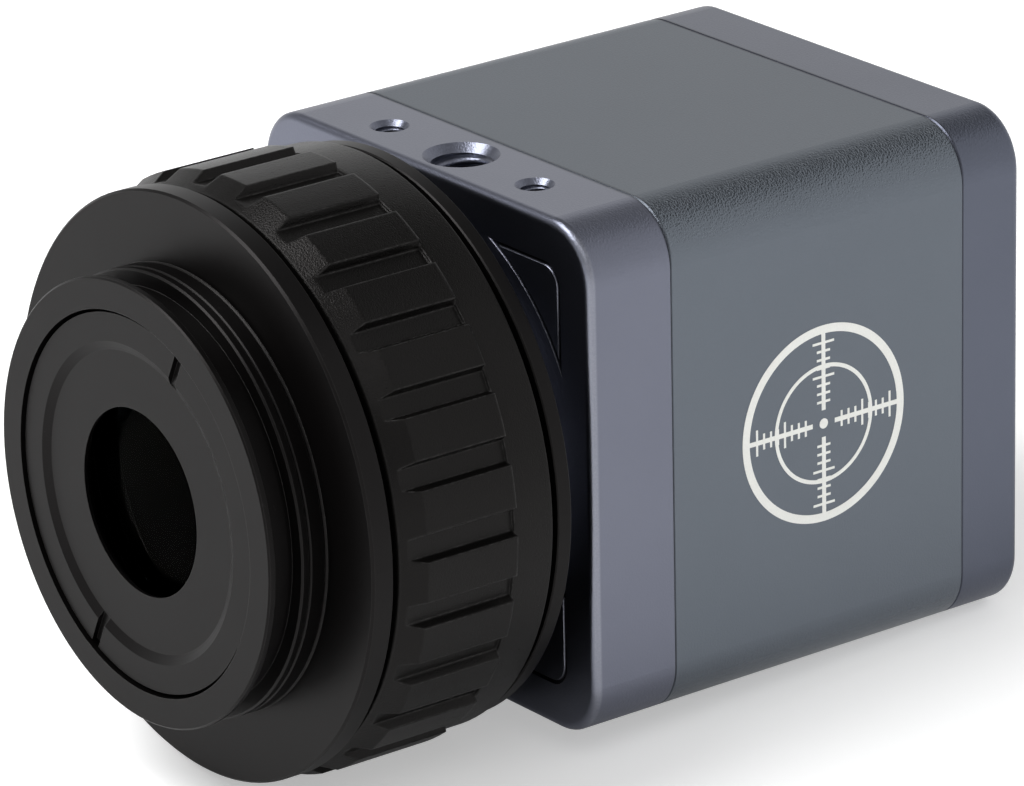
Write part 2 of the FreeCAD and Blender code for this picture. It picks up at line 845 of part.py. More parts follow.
def data_socket_insulator():
    """Moulded back of the data socket and its thin middle tongue."""
    start = socket_face - data_depth
    back = data_profile(-data_wall - thread_clearance, start, start + data_back)
    middle = board_top + data_height / 2
    tongue = block(data_tongue_width, start, socket_face - data_tongue_setback,
                   middle - data_tongue_height / 2, middle + data_tongue_height / 2, data_across)
    return back.fuse(tongue).removeSplitter()


def card_reader():
    """Flat metal card reader under the main board, with its slot to the rear."""
    face = body_rear - card_setback
    middle = board_bottom - card_height / 2
    reader = block(card_width, face - card_depth, face,
                   board_bottom - card_height, board_bottom, video_across)
    return reader.cut(block(card_slot_width, face - card_slot_depth, face,
                            middle - card_slot_height / 2, middle + card_slot_height / 2, video_across))


def tact_switch():
    """Switch body with a well that its plunger is pressed into."""
    well_floor = switch_face - plunger_seat - 2 * button_travel
    well_radius = plunger_radius + running_clearance
    body = block(switch_width, switch_face - switch_length, switch_face,
                 board_top, button_height + well_radius + switch_roof, button_across)
    return body.cut(rod(well_radius, well_floor, switch_face, button_across, button_height))


def switch_plunger():
    return rod(plunger_radius, switch_face - plunger_seat, button_rest, button_across, button_height)


def capture_button():
    """Push button with a collar that stops it against the inside of the rear cover."""
    face = body_rear + button_proud
    cap = rod(button_radius, button_rest, face, button_across, button_height)
    rim = [edge for edge in cap.Edges if abs(edge.BoundBox.YMin - face) < 1e-4]
    cap = cap.makeFillet(button_edge_round, rim)
    return cap.fuse(rod(button_collar_radius, button_rest, button_rest + button_collar_length,
                        button_across, button_height))


def status_light_pipe():
    """Clear pipe that brings the status light through the rear cover."""
    pipe = rod(light_radius, rear_inner, socket_face, data_across, light_height)
    return pipe.fuse(rod(light_collar_radius, rear_inner - light_collar_length, rear_inner,
                         data_across, light_height))


def status_led():
    """Small light under the edge of the main board, in front of its pipe."""
    end = rear_inner - light_collar_length - running_clearance
    return block(led_width, end - led_length, end, light_height - led_height / 2, board_bottom, data_across)


sub_parts = [lens_barrel, lens_retaining_ring, front_lens, rear_lens, adjusting_ring,
             adapter_base, guide_pins, keeper_ring, drag_o_ring,
             front_plate, body_sleeve, rear_cover, housing_screws,
             ir_cut_filter, filter_holder, image_sensor, sensor_glass,
             sensor_board, sensor_standoffs, sensor_board_screws,
             main_board, board_link, image_processor, thermal_pad, heat_sink, memory_chips,
             video_socket_shell, video_socket_insulator, data_socket_shell, data_socket_insulator,
             card_reader, tact_switch, switch_plunger, capture_button, status_light_pipe, status_led]


def main():
    os.makedirs("parts", exist_ok=True)
    for make in sub_parts:
        shape = make()
        shape.exportStep(os.path.join("parts", make.__name__ + ".step"))
        print(f"{make.__name__:24s} solids {len(shape.Solids)} volume {shape.Volume:10.2f}",
              shape.isValid())


main()
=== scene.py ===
import math

import bmesh
import bpy
from mathutils import Matrix, Vector


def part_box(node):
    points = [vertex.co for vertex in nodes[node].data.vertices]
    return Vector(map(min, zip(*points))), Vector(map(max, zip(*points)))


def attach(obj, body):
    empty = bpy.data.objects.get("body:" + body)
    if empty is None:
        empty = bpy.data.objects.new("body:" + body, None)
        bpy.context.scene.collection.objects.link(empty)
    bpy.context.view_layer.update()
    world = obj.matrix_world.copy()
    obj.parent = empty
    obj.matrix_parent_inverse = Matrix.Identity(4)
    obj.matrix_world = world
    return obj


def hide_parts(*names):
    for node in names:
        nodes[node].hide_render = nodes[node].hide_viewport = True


# Microscope camera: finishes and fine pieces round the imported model. Metres; the optical axis is Y.

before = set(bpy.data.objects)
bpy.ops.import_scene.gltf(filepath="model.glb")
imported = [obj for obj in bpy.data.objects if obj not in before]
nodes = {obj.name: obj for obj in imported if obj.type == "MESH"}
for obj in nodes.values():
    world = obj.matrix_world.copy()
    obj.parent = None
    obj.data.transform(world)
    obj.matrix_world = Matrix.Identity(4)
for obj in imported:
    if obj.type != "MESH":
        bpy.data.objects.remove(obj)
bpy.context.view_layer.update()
mm = 0.001
print("frame loaded:", len(nodes), "nodes")


class Wire:
    # a socket that takes part in Python expressions; each operator adds a Math node
    def __init__(self, paint, socket):
        self.paint = paint
        self.socket = socket

    def __add__(self, other):
        return self.paint.maths("ADD", self, other)

    def __radd__(self, other):
        return self.paint.maths("ADD", other, self)

    def __sub__(self, other):
        return self.paint.maths("SUBTRACT", self, other)

    def __rsub__(self, other):
        return self.paint.maths("SUBTRACT", other, self)

    def __mul__(self, other):
        return self.paint.maths("MULTIPLY", self, other)

    def __rmul__(self, other):
        return self.paint.maths("MULTIPLY", other, self)

    def __truediv__(self, other):
        return self.paint.maths("DIVIDE", self, other)

    def __pow__(self, other):
        return self.paint.maths("POWER", self, other)


class Paint:
    # the nodes of a material or of the world, and the means to add to them
    def __init__(self, owner, shaderName, **values):
        owner.use_nodes = True
        self.owner = owner
        self.tree = owner.node_tree
        self.shader = self.tree.nodes[shaderName]
        self.set(**values)

    def set(self, **values):
        # socket names are written in camelCase: baseColor sets Base Color
        for name, value in values.items():
            words = "".join(" " + c if c.isupper() else c for c in name).title()
            self.feed(self.shader.inputs[words.replace("Ior", "IOR")], value)

    def feed(self, socket, value):
        if isinstance(value, Wire):
            self.tree.links.new(value.socket, socket)
        elif socket.type == "RGBA":
            socket.default_value = (*value, 1.0)
        else:
            socket.default_value = value

    def node(self, kind, settings=None, sockets=None, output=0):
        made = self.tree.nodes.new(kind)
        for name, value in (settings or {}).items():
            if name == "stops":
                ramp = made.color_ramp  # a new one has two stops
                for index, (place, level) in enumerate(value):
                    stop = ramp.elements[index] if index < 2 else ramp.elements.new(place)
                    stop.position = place
                    stop.color = (level, level, level, 1.0)
            else:
                setattr(made, name, value)
        for key, value in (sockets or {}).items():
            self.feed(made.inputs[key], value)
        return Wire(self, made.outputs[output])

    def maths(self, operation, *values):
        return self.node("ShaderNodeMath", {"operation": operation}, dict(enumerate(values)))

    def clamp(self, value):
        return self.node("ShaderNodeClamp", {}, {"Value": value})

    def split(self, vector):
        parts = self.node("ShaderNodeSeparateXYZ", {}, {0: vector}).socket.node.outputs
        return [Wire(self, parts[axis]) for axis in "XYZ"]

    def place(self):
        return self.node("ShaderNodeTexCoord", output="Object")

    def facing(self):
        return self.node("ShaderNodeNewGeometry", output="Normal")

    def noise(self, scale, detail=2.0, roughness=0.5):
        return self.node("ShaderNodeTexNoise", {}, {"Vector": self.place(), "Scale": scale,
                                                    "Detail": detail, "Roughness": roughness})

    def grain(self, scale):
        return self.noise(scale, detail=1.0)

    def cloud(self, scale):
        return self.noise(scale, detail=3.0)

    def steps(self, value, stops):
        return self.node("ShaderNodeValToRGB", {"stops": stops}, {"Fac": value})

    def blend(self, factor, first, second):
        # sockets 6 and 7 and output 2 are the Mix node's colours
        return self.node("ShaderNodeMix", {"data_type": "RGBA"},
                         {"Factor": factor, 6: first, 7: second}, 2)

    def bump(self, height, strength, distance, under=None):
        sockets = {"Height": height, "Strength": strength, "Distance": distance}
        if under is not None:
            sockets["Normal"] = under
        return self.node("ShaderNodeBump", {}, sockets)

    def rounded(self, radius, samples=6):
        # normals as if the edges had this radius
        return self.node("ShaderNodeBevel", {"samples": samples}, {"Radius": radius})

    def edges(self, radius, gain):
        # near 1 on convex and concave edges, 0 on open faces
        along = self.node("ShaderNodeVectorMath", {"operation": "DOT_PRODUCT"},
                          {0: self.rounded(radius), 1: self.facing()}, "Value")
        return self.clamp((1 - along) * gain)

    def latheLines(self, pitch, slant=1.37):
        # fine tool marks round the optical axis, on faces and on cylinders
        x, y, z = self.split(self.place())
        radius = (x * x + z * z) ** 0.5
        return self.node("ShaderNodeTexNoise", {"noise_dimensions": "1D"},
                         {"W": (radius + y * slant) / pitch, "Scale": 1.0, "Detail": 1.0})


def newFinish(name, **values):
    return Paint(bpy.data.materials.new(name), "Principled BSDF", **values)


# Anodised aluminium of the housing
satin = dict(patch=90, grain=5600, rough=0.24, grainRough=0.10, patchRough=0.04, wearHighlightGain=1.0, wearHighlightLeast=0.35,
             pits=0.5, cornerPits=1.2, pitStrength=0.70, pitDepth=0.040 * mm)
housingFinishes = {
    "satinHousing": dict(satin, tint=(0.174, 0.184, 0.230), shade=(0.160, 0.169, 0.213),
                         worn=(0.50, 0.51, 0.56), cornerRough=0.36, polishAndHighlight=0.22),
    # the rear cover takes a darker copy of the housing's satin finish
    "satinCover": dict(satin, tint=(0.122, 0.133, 0.170), shade=(0.112, 0.122, 0.157),
                       worn=(0.42, 0.43, 0.47), cornerRough=0.30, polishAndHighlight=0.0),
    "blastedHousing": dict(tint=(0.150, 0.169, 0.196), shade=(0.138, 0.156, 0.181), worn=(0.40, 0.42, 0.45),
                           patch=70, grain=6000, rough=0.37, cornerRough=0.20, grainRough=0.08,
                           patchRough=0.0, wearHighlightGain=1.6, wearHighlightLeast=0.0, polishAndHighlight=0.0,
                           pits=0.3, cornerPits=1.1, pitStrength=0.90, pitDepth=0.080 * mm),
}
# edge wear of the housing, which also serves as painted highlights along its edges
housingWearAndHighlight = dict(edge=0.09 * mm, speck=1500)
noiseMiddle = 0.5
seams = dict(front=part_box("body_sleeve")[0].y, rear=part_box("body_sleeve")[1].y, width=0.08 * mm,
             core=1.6, settle=1.8, dirt=0.6, colour=(0.02, 0.02, 0.025))
# front plate: its thickness, and the mask of the wear and painted highlight on its flanks' round front edge
plateFront = dict(thick=8.5 * mm, round=0.75 * mm, fade=0.2 * mm, turnFrom=0.98, turnGain=12, flankGain=2.2)
plateFace = seams["front"] - plateFront["thick"]
# corner grooves: their reach, and how far they are darkened as painted shade
grooves = dict(reach=18.8 * mm, rim=0.01 * mm, depth=0.05 * mm, dirt=0.88)
cornerTurn = dict(start=0.08, gain=2.8)


def seamShade(paint):
    # 1 on the joints between the three housing pieces, where dirt gathers
    y = paint.split(paint.place())[1]
    upward = paint.split(paint.facing())[2]
    settled = paint.clamp(upward)  # more of it lies on top
    gaps = [paint.maths("ABSOLUTE", y - seams[end]) for end in ("front", "rear")]
    near = paint.maths("MINIMUM", *gaps)
    return paint.clamp(seams["core"] - near / (seams["width"] * (1 + settled * seams["settle"])))


def edgeWearAndHighlight(paint):
    # 1 on the round front edge of the front plate's flanks, which handling has rubbed bright, and which is
    # lightened further as a painted highlight
    y = paint.split(paint.place())[1]
    sideways, forward = paint.split(paint.facing())[:2]
    near = paint.clamp((plateFront["round"] - (y - plateFace)) / plateFront["fade"])
    turned = paint.clamp((forward + plateFront["turnFrom"]) * plateFront["turnGain"])
    flank = paint.clamp(sideways * sideways * plateFront["flankGain"])
    return near * turned * flank


def grooveShade(paint):
    # 1 in the corner grooves, which lie just behind the front face and inside its round edge; the base is
    # darkened there as painted shade
    x, y, z = paint.split(paint.place())
    reach = paint.maths("MAXIMUM", paint.maths("ABSOLUTE", x), paint.maths("ABSOLUTE", z))
    inside = paint.clamp((grooves["reach"] - reach) / grooves["rim"])
    return inside * paint.clamp((y - plateFace) / grooves["depth"])


def roundCorner(paint, flat, turned):
    # from one value on the housing's flat sides to another on its long rounded corners
    x, z = paint.split(paint.facing())[::2]
    corner = paint.clamp((paint.maths("ABSOLUTE", x * z) - cornerTurn["start"]) * cornerTurn["gain"])
    return flat + corner * (turned - flat)


def anodisedHousing(name):
    look = housingFinishes[name]
    paint = newFinish(name, metallic=1.0)
    cloud = paint.cloud(look["patch"])
    grain = paint.grain(look["grain"])
    dirt = seamShade(paint)
    # edges lightened as wear and as painted highlights, in patches
    rubbedAndHighlit = look["wearHighlightLeast"] + paint.noise(housingWearAndHighlight["speck"])
    worn = paint.edges(housingWearAndHighlight["edge"], look["wearHighlightGain"]) * rubbedAndHighlit * (1 - dirt)
    base = paint.blend(cloud, look["tint"], look["shade"])
    base = paint.blend(worn, base, look["worn"])
    if look["polishAndHighlight"] > 0:
        # painted highlight on the flanks' round front edge, mixed with rubbed wear
        polishAndHighlight = edgeWearAndHighlight(paint) * (noiseMiddle + grain) * look["polishAndHighlight"]
        base = paint.blend(polishAndHighlight, base, look["worn"])
        # painted shade: the corner grooves are darkened towards the seams' dark colour
        base = paint.blend(grooveShade(paint) * grooves["dirt"], base, seams["colour"])
    rough = roundCorner(paint, look["rough"], look["cornerRough"])
    pits = (grain - noiseMiddle) * roundCorner(paint, look["pits"], look["cornerPits"])
    paint.set(baseColor=paint.blend(dirt * seams["dirt"], base, seams["colour"]),
              roughness=rough + grain * look["grainRough"] + cloud * look["patchRough"],
              normal=paint.bump(pits, look["pitStrength"], look["pitDepth"]))
    return paint.owner


# Black anodised parts of the adapter
turnedBlack = dict(tint=(0.0017, 0.0014, 0.0014), shade=(0.0011, 0.0009, 0.0009), worn=(0.200, 0.195, 0.190),
                   specular=0.155, specularTint=(1.0, 0.95, 0.95), patch=160, marks=0.06 * mm,
                   edge=0.06 * mm, wearHighlightGain=2.4, wearHighlightSpeck=1800, round=0.05 * mm,
                   dust=0.05, dustSpeck=2600, dustSteps=((0.0, 0.0), (0.72, 0.0), (0.80, 1.0)),
                   rough=0.30, markRough=0.10, patchRough=0.05, markStrength=0.18, markDepth=0.006 * mm)
gripBlack = dict(tint=(0.0034, 0.0031, 0.0029), shade=(0.0024, 0.0022, 0.0021), worn=(0.130, 0.128, 0.126),
                 specular=0.155, specularTint=(1.0, 0.96, 0.95), patch=220, grain=8000,
                 edge=0.24 * mm, wearHighlightGain=3.5, wearHighlightSpeck=2400, round=0.32 * mm,
                 wearHighlightSteps=((0.0, 0.0), (0.38, 0.1), (0.72, 0.6)),
                 rough=0.24, grainRough=0.12, grainStrength=0.65, grainDepth=0.040 * mm)


def turnedBlackAnodise():
    look = turnedBlack
    paint = newFinish("turnedBlackAnodise", metallic=0.0, specularIorLevel=look["specular"],
                      specularTint=look["specularTint"])
    marks = paint.latheLines(look["marks"])
    cloud = paint.cloud(look["patch"])
    dust = paint.steps(paint.noise(look["dustSpeck"]), look["dustSteps"])
    # wear on the edges, lightened further as painted highlight lines
    worn = paint.edges(look["edge"], look["wearHighlightGain"]) * paint.noise(look["wearHighlightSpeck"])
    base = paint.blend(cloud, look["tint"], look["shade"])
    base = paint.blend(dust * look["dust"], base, look["worn"])
    soft = paint.rounded(look["round"])
    paint.set(baseColor=paint.blend(worn, base, look["worn"]),
              roughness=look["rough"] + marks * look["markRough"] + cloud * look["patchRough"],
              normal=paint.bump(marks, look["markStrength"], look["markDepth"], soft))
    return paint.owner


def gripBlackAnodise():
    look = gripBlack
    paint = newFinish("gripBlackAnodise", metallic=0.0, specularIorLevel=look["specular"],
                      specularTint=look["specularTint"])
    grain = paint.grain(look["grain"])
    cloud = paint.cloud(look["patch"])
    # wear specks on the edges, lightened as painted highlight specks
    worn = paint.edges(look["edge"], look["wearHighlightGain"])
    speck = paint.steps(paint.noise(look["wearHighlightSpeck"]), look["wearHighlightSteps"])
    base = paint.blend(cloud, look["tint"], look["shade"])
    soft = paint.rounded(look["round"])
    paint.set(baseColor=paint.blend(worn * speck, base, look["worn"]),
              roughness=look["rough"] + grain * look["grainRough"],
              normal=paint.bump(grain, look["grainStrength"], look["grainDepth"], soft))
    return paint.owner


# Glass with a low index, because a coated and cemented pair hardly mirrors
coating = dict(index=1.04, smearRough=0.02)
glassFinishes = {
    "lensGlass": dict(tint=(0.90, 0.93, 0.95), shade=(0.86, 0.90, 0.93), smear=700),
    "filterGlass": dict(tint=(0.66, 0.86, 0.85), shade=(0.60, 0.82, 0.84), smear=500),
}


def coatedGlass(name):
    look = glassFinishes[name]
    paint = newFinish(name, transmissionWeight=1.0, ior=coating["index"])
    smear = paint.cloud(look["smear"])
    paint.set(baseColor=paint.blend(smear, look["tint"], look["shade"]),
              roughness=smear * coating["smearRough"])
    return paint.owner


# Metals of the fasteners, sockets, contacts and the side mark
metalFinishes = {
    "screwSteel": dict(tint=(0.36, 0.36, 0.37), shade=(0.25, 0.25, 0.26), rough=0.30, grain=2600),
    "brightSteel": dict(tint=(0.33, 0.325, 0.32), shade=(0.30, 0.295, 0.29), rough=0.26, grain=2400),
    "standoffBrass": dict(tint=(0.72, 0.52, 0.22), shade=(0.60, 0.42, 0.17), rough=0.26, grain=3000),
    "contactGold": dict(tint=(0.86, 0.62, 0.24), shade=(0.76, 0.52, 0.19), rough=0.20, grain=4200),
    "etchedSilver": dict(tint=(0.86, 0.86, 0.82), shade=(0.76, 0.77, 0.75), rough=0.46, grain=6500),
}
metalWear = dict(edge=0.08 * mm, gain=1.5, share=0.15, colour=(0.8, 0.8, 0.8), grainRough=0.10,
                 strength=0.1, depth=0.008 * mm)


def plainMetal(name):
    look = metalFinishes[name]
    paint = newFinish(name, metallic=1.0)
    grain = paint.cloud(look["grain"])
    worn = paint.edges(metalWear["edge"], metalWear["gain"])
    base = paint.blend(grain, look["tint"], look["shade"])
    paint.set(baseColor=paint.blend(worn * metalWear["share"], base, metalWear["colour"]),
              roughness=look["rough"] + grain * metalWear["grainRough"],
              normal=paint.bump(grain, metalWear["strength"], metalWear["depth"]))
    return paint.owner


# Moulded plastic, rubber and chips
mouldedFinishes = {
    "sealRubber": dict(tint=(0.014, 0.014, 0.015), shade=(0.022, 0.022, 0.022), rough=0.62, grain=2600),
    "padRubber": dict(tint=(0.28, 0.33, 0.40), shade=(0.22, 0.27, 0.34), rough=0.70, grain=1800),
    "chipBlack": dict(tint=(0.020, 0.020, 0.022), shade=(0.030, 0.030, 0.031), rough=0.48, grain=5200),
    "blackPlastic": dict(tint=(0.017, 0.017, 0.018), shade=(0.024, 0.024, 0.025), rough=0.44, grain=4200),
}
mouldGrain = dict(detail=4.0, roughness=0.6, grainRough=0.14, strength=0.3, depth=0.02 * mm)


def moulded(name):
    look = mouldedFinishes[name]
    paint = newFinish(name)
    grain = paint.noise(look["grain"], mouldGrain["detail"], mouldGrain["roughness"])
    paint.set(baseColor=paint.blend(grain, look["tint"], look["shade"]),
              roughness=look["rough"] + grain * mouldGrain["grainRough"],
              normal=paint.bump(grain, mouldGrain["strength"], mouldGrain["depth"]))
    return paint.owner


# Milky plastic of the status light
milky = dict(tint=(0.86, 0.90, 0.86), shade=(0.78, 0.83, 0.79), patch=900, rough=0.28, patchRough=0.1,
             clear=0.55, index=1.49)


def lightPlastic():
    paint = newFinish("lightPlastic", transmissionWeight=milky["clear"], ior=milky["index"])
    cloud = paint.cloud(milky["patch"])
    paint.set(baseColor=paint.blend(cloud, milky["tint"], milky["shade"]),
              roughness=milky["rough"] + cloud * milky["patchRough"])
    return paint.owner


# Solder mask with copper tracks under it
board = dict(mask=(0.010, 0.075, 0.034), track=(0.022, 0.120, 0.052), coat=0.25, pitch=1150.0, gap=0.035,
             stagger=0.5, squash=0.6, patch=400, rough=0.34, patchRough=0.14, strength=0.2, depth=0.02 * mm)


def boardGreen():
    paint = newFinish("boardGreen", coatWeight=board["coat"])
    tracks = paint.node("ShaderNodeTexBrick", {"offset": board["stagger"], "squash": board["squash"]},
                        {"Vector": paint.place(), "Scale": board["pitch"], "Mortar Size": board["gap"]}, 1)
    cloud = paint.cloud(board["patch"])
    paint.set(baseColor=paint.blend(tracks, board["track"], board["mask"]),
              roughness=board["rough"] + cloud * board["patchRough"],
              normal=paint.bump(tracks, board["strength"], board["depth"]))
    return paint.owner


finishes = {
    "satin_housing": anodisedHousing("satinHousing"),
    "blasted_housing": anodisedHousing("blastedHousing"),
    "black_anodised": turnedBlackAnodise(),
    "lens_glass": coatedGlass("lensGlass"),
    "filter_glass": coatedGlass("filterGlass"),
    "seal_rubber": moulded("sealRubber"),
    "pad_rubber": moulded("padRubber"),
    "screw_steel": plainMetal("screwSteel"),
    "bright_steel": plainMetal("brightSteel"),
    "standoff_brass": plainMetal("standoffBrass"),
    "board_green": boardGreen(),
    "chip_black": moulded("chipBlack"),
    "black_plastic": moulded("blackPlastic"),
    "light_plastic": lightPlastic(),
}
gripFinish = gripBlackAnodise()
coverFinish = anodisedHousing("satinCover")
goldFinish = plainMetal("contactGold")
markFinish = plainMetal("etchedSilver")

for node in nodes.values():
    slotName = node.data.materials[0].name
    node.material_slots[0].link = "OBJECT"
    node.material_slots[0].material = finishes[slotName]
nodes["rear_cover"].material_slots[0].material = coverFinish
print("finishes assigned to", len(nodes), "nodes")


def newPiece(name, work, finish, body, smooth=True):
    # turns a finished bmesh into a piece that rides on a body
    bmesh.ops.recalc_face_normals(work, faces=work.faces)
    mesh = bpy.data.meshes.new(name)
    work.to_mesh(mesh)
    work.free()
    mesh.polygons.foreach_set("use_smooth", [smooth] * len(mesh.polygons))
    mesh.materials.append(finish)
    piece = bpy.data.objects.new(name, mesh)
    bpy.context.scene.collection.objects.link(piece)
    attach(piece, body)
    return piece


def slab(work, low, high):
    # box between two corners
    middle = (Vector(low) + Vector(high)) / 2
    size = Vector(high) - Vector(low)
    shape = Matrix.Translation(middle) @ Matrix.Diagonal((*size, 1.0))
    bmesh.ops.create_cube(work, size=1.0, matrix=shape)


def outline(work, points):
    # corners and closed line of a section that is to be spun
    section = [work.verts.new(point) for point in points]
    loop = [work.edges.new(pair) for pair in zip(section, section[1:] + section[:1])]
    return section, loop


# Grip ring with its edges rounded as a tumbled and blasted part's are
grip = dict(merge=0.0001 * mm, seam=0.12 * mm, flat=math.radians(1.0), sharp=math.radians(24.0),
            inner=24.0 * mm, front=0.1 * mm, rear=4.0 * mm, round=0.25 * mm, segments=3)


def softGrip():
    low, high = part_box("adjusting_ring")

    def ribbed(point):
        # the ribs and the cone's edge, without the hub and the plain rear band
        outside = math.hypot(point.x, point.z) > grip["inner"]
        return outside and low.y + grip["front"] < point.y < high.y - grip["rear"]

    work = bmesh.new()
    work.from_mesh(nodes["adjusting_ring"].data)
    bmesh.ops.remove_doubles(work, verts=work.verts, dist=grip["merge"])
    bmesh.ops.remove_doubles(work, verts=[vert for vert in work.verts if ribbed(vert.co)], dist=grip["seam"])
    bmesh.ops.dissolve_limit(work, angle_limit=grip["flat"], verts=work.verts, edges=work.edges)
    crisp = [edge for edge in work.edges if edge.is_manifold and edge.calc_face_angle() > grip["sharp"]
             and ribbed((edge.verts[0].co + edge.verts[1].co) / 2)]
    bmesh.ops.bevel(work, geom=crisp, offset=grip["round"], offset_type="OFFSET", affect="EDGES",
                    segments=grip["segments"], profile=0.5, material=-1, clamp_overlap=True)
    piece = newPiece("grip_ring", work, gripFinish, "ring")
    soften = piece.modifiers.new("shading", "WEIGHTED_NORMAL")
    soften.keep_sharp = True
    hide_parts("adjusting_ring")


softGrip()
print("grip ring rounded")


# Etched measuring reticle on the side of the sleeve: rings, cross lines and graduations
reticle = dict(across=48.75 * mm, height=0.05 * mm, ringProud=0.020 * mm, barProud=0.018 * mm, ringSteps=128,
               rings=((8.75 * mm, 8.0 * mm), (5.3 * mm, 4.95 * mm), (0.45 * mm, 0.0)), merge=0.0001 * mm,
               line=0.42 * mm, gap=1.2 * mm, reach=8.1 * mm, ticks=8, longEvery=4, tick=0.22 * mm,
               tickStep=0.75 * mm, tickLong=0.95 * mm, tickShort=0.5 * mm)


def etchedReticle():
    look = reticle
    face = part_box("body_sleeve")[1].x
    work = bmesh.new()

    def bar(y0, y1, z0, z1):
        slab(work, (face, look["across"] + min(y0, y1), look["height"] + min(z0, z1)),
             (face + look["barProud"], look["across"] + max(y0, y1), look["height"] + max(z0, z1)))

    middle = Vector((face, look["across"], look["height"]))
    top = look["ringProud"]
    for outer, inner in look["rings"]:
        section, loop = outline(work, [middle + Vector((proud, 0, radius)) for proud, radius in
                                       ((0, inner), (0, outer), (top, outer), (top, inner))])
        bmesh.ops.spin(work, geom=section + loop, cent=middle, axis=(1, 0, 0), angle=2 * math.pi,
                       steps=look["ringSteps"], use_merge=True)
    bmesh.ops.remove_doubles(work, verts=work.verts, dist=look["merge"])
    half = look["line"] / 2
    for way in (-1, 1):
        bar(way * look["gap"], way * look["reach"], -half, half)
        bar(-half, half, way * look["gap"], way * look["reach"])
        for step in range(1, look["ticks"] + 1):
            at = way * (look["gap"] + step * look["tickStep"])
            length = look["tickLong"] if step % look["longEvery"] == 0 else look["tickShort"]
            for side in (-1, 1):
                bar(at - look["tick"] / 2, at + look["tick"] / 2, side * half, side * (half + length))
                bar(side * half, side * (half + length), at - look["tick"] / 2, at + look["tick"] / 2)
    newPiece("etched_reticle", work, markFinish, "camera", smooth=False)


etchedReticle()
print("side mark etched")


# Threads in the holes on top of the front plate
tripodThread = dict(radius=2.60 * mm, pitch=1.27 * mm, depth=0.42 * mm, crest=0.16 * mm,
                    top=0.95 * mm, bottom=5.7 * mm, steps=48)
sideThread = dict(radius=1.25 * mm, pitch=0.5 * mm, depth=0.20 * mm, crest=0.06 * mm,
                  top=0.60 * mm, bottom=4.7 * mm, steps=32)
threads = dict(tripod_thread=dict(tripodThread, x=0.0), left_side_thread=dict(sideThread, x=-10.0 * mm),
               right_side_thread=dict(sideThread, x=10.0 * mm))
holeSetback = 4.25 * mm  # from the sleeve's front to the holes' middles
threadFoot = dict(sunk=0.03 * mm, half=0.46)  # into the wall, and half its height in pitches


def holeThread(name):
    look = threads[name]
    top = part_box("front_plate")[1].z
    centre = Vector((look["x"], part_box("body_sleeve")[0].y - holeSetback, top - look["top"]))
    turns = (look["bottom"] - look["top"]) / look["pitch"]
    steps = int(turns * look["steps"])
    root = look["radius"] + threadFoot["sunk"]
    foot = look["pitch"] * threadFoot["half"]
    crest = look["radius"] - look["depth"]
    flat = look["crest"]
    work = bmesh.new()
    section, loop = outline(work, [centre + Vector((radius, 0, rise)) for radius, rise in
                                   ((root, foot), (crest, flat), (crest, -flat), (root, -foot))])
    start = work.faces.new(section)
    bmesh.ops.spin(work, geom=[start] + section + loop, cent=centre, axis=(0, 0, 1),
                   angle=turns * 2 * math.pi, steps=steps, dvec=(0, 0, -turns * look["pitch"] / steps))
    newPiece(name, work, finishes["satin_housing"], "camera")


for threadName in threads:
    holeThread(threadName)
print("threads cut")


# Gilt contacts on the tongues of the two sockets
contacts = dict(
    video_contacts=dict(node="video_socket_insulator", count=10, pitch=1.0 * mm, width=0.46 * mm,
                        length=6.5 * mm, setback=0.25 * mm, thickness=0.06 * mm,
                        middle=2.30 * mm, half=0.80 * mm),
    data_contacts=dict(node="data_socket_insulator", count=12, pitch=0.5 * mm, width=0.27 * mm,
                       length=4.6 * mm, setback=0.35 * mm, thickness=0.04 * mm,
                       middle=0.45 * mm, half=0.35 * mm),
)
contactBevel = 0.3  # of the thickness


def socketContacts(name):
    look = contacts[name]
    low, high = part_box(look["node"])
    across = (low.x + high.x) / 2
    end = high.y - look["setback"]
    work = bmesh.new()
    for side in (-1, 1):
        surface = look["middle"] + side * look["half"]
        outer = surface + side * look["thickness"]
        for index in range(look["count"]):
            x = across + (index - (look["count"] - 1) / 2) * look["pitch"]
            slab(work, (x - look["width"] / 2, end - look["length"], min(surface, outer)),
                 (x + look["width"] / 2, end, max(surface, outer)))
    bmesh.ops.bevel(work, geom=work.edges[:], offset=look["thickness"] * contactBevel, affect="EDGES",
                    segments=1, profile=0.5, material=-1)
    newPiece(name, work, goldFinish, "camera", smooth=False)


for contactName in contacts:
    socketContacts(contactName)
print("contacts laid")


# Pale floor: it touches the ring's ribs and the rear cover's lower edge. Its glow is weaker near the object,
# a painted shadow round it, and brighter far off like a lit cove: by distance from the object, the camera
# sees lift, and metal and glass show mirrorLift.
floorLook = dict(colour=(0.84, 0.84, 0.84), rough=0.75, specular=0.1, size=4.0,
                 ribSetback=4.5 * mm, coverSetback=0.25 * mm,
                 lift=((0.03, 0.40), (0.10, 0.42), (0.60, 0.64)),
                 mirrorLift=((0.02, 0.04), (0.045, 0.23), (0.10, 0.28), (0.60, 0.46)))


